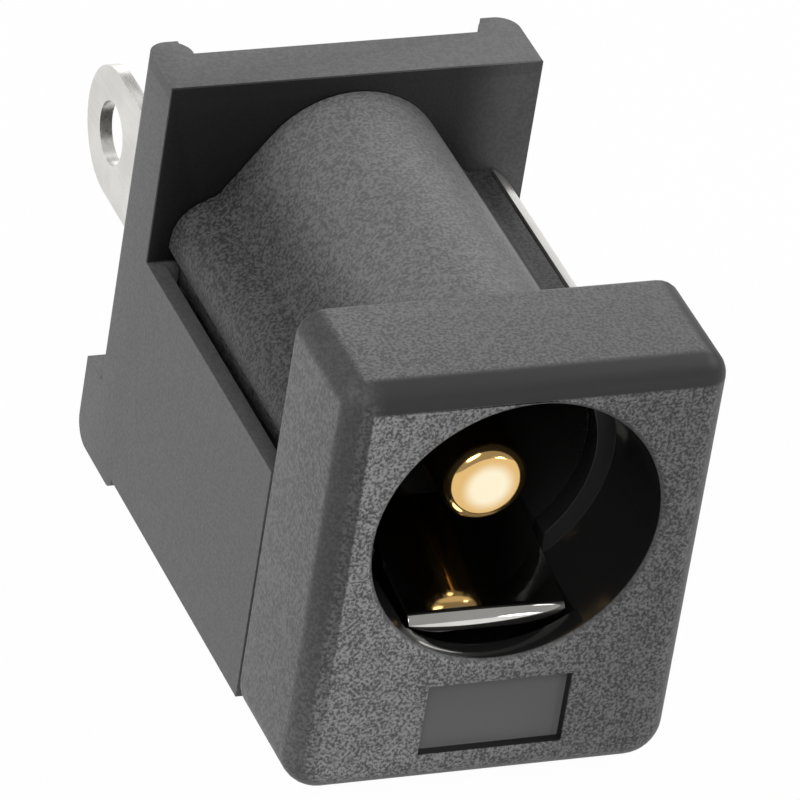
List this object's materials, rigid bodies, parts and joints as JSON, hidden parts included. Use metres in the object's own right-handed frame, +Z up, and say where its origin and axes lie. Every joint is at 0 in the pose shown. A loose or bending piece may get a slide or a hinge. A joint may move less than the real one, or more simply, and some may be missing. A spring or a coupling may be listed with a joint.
{
  "type": "dc_barrel_jack",
  "caption": "DC barrel jack for a 5.5 mm plug with a 2 mm centre pin, plastic housing with open side cheeks and solder lugs behind the rear wall",
  "frame": {"origin": "middle of the front bezel's underside, on the board", "axes": "+Z up off the board, -Y out of the plug mouth, +X to the right seen from the mouth"},
  "size_m": [0.009, 0.0184, 0.011],
  "materials": {
    "housing_plastic": "spark-eroded grain, glass-filled plastic",
    "pin_brass": "turned and polished, gold-coloured",
    "plated_strip": "stamped strip, bright nickel plate",
    "spring_strip": "phosphor bronze spring strip, bright nickel plate"
  },
  "bodies": {
    "root": {"front_housing": "housing_plastic", "base_shell": "housing_plastic", "centre_pin": "pin_brass", "pin_terminal": "plated_strip", "sleeve_contact": "plated_strip", "sleeve_spring": "spring_strip", "switch_contact": "plated_strip", "switch_arm": "spring_strip"}
  },
  "joints": []
}
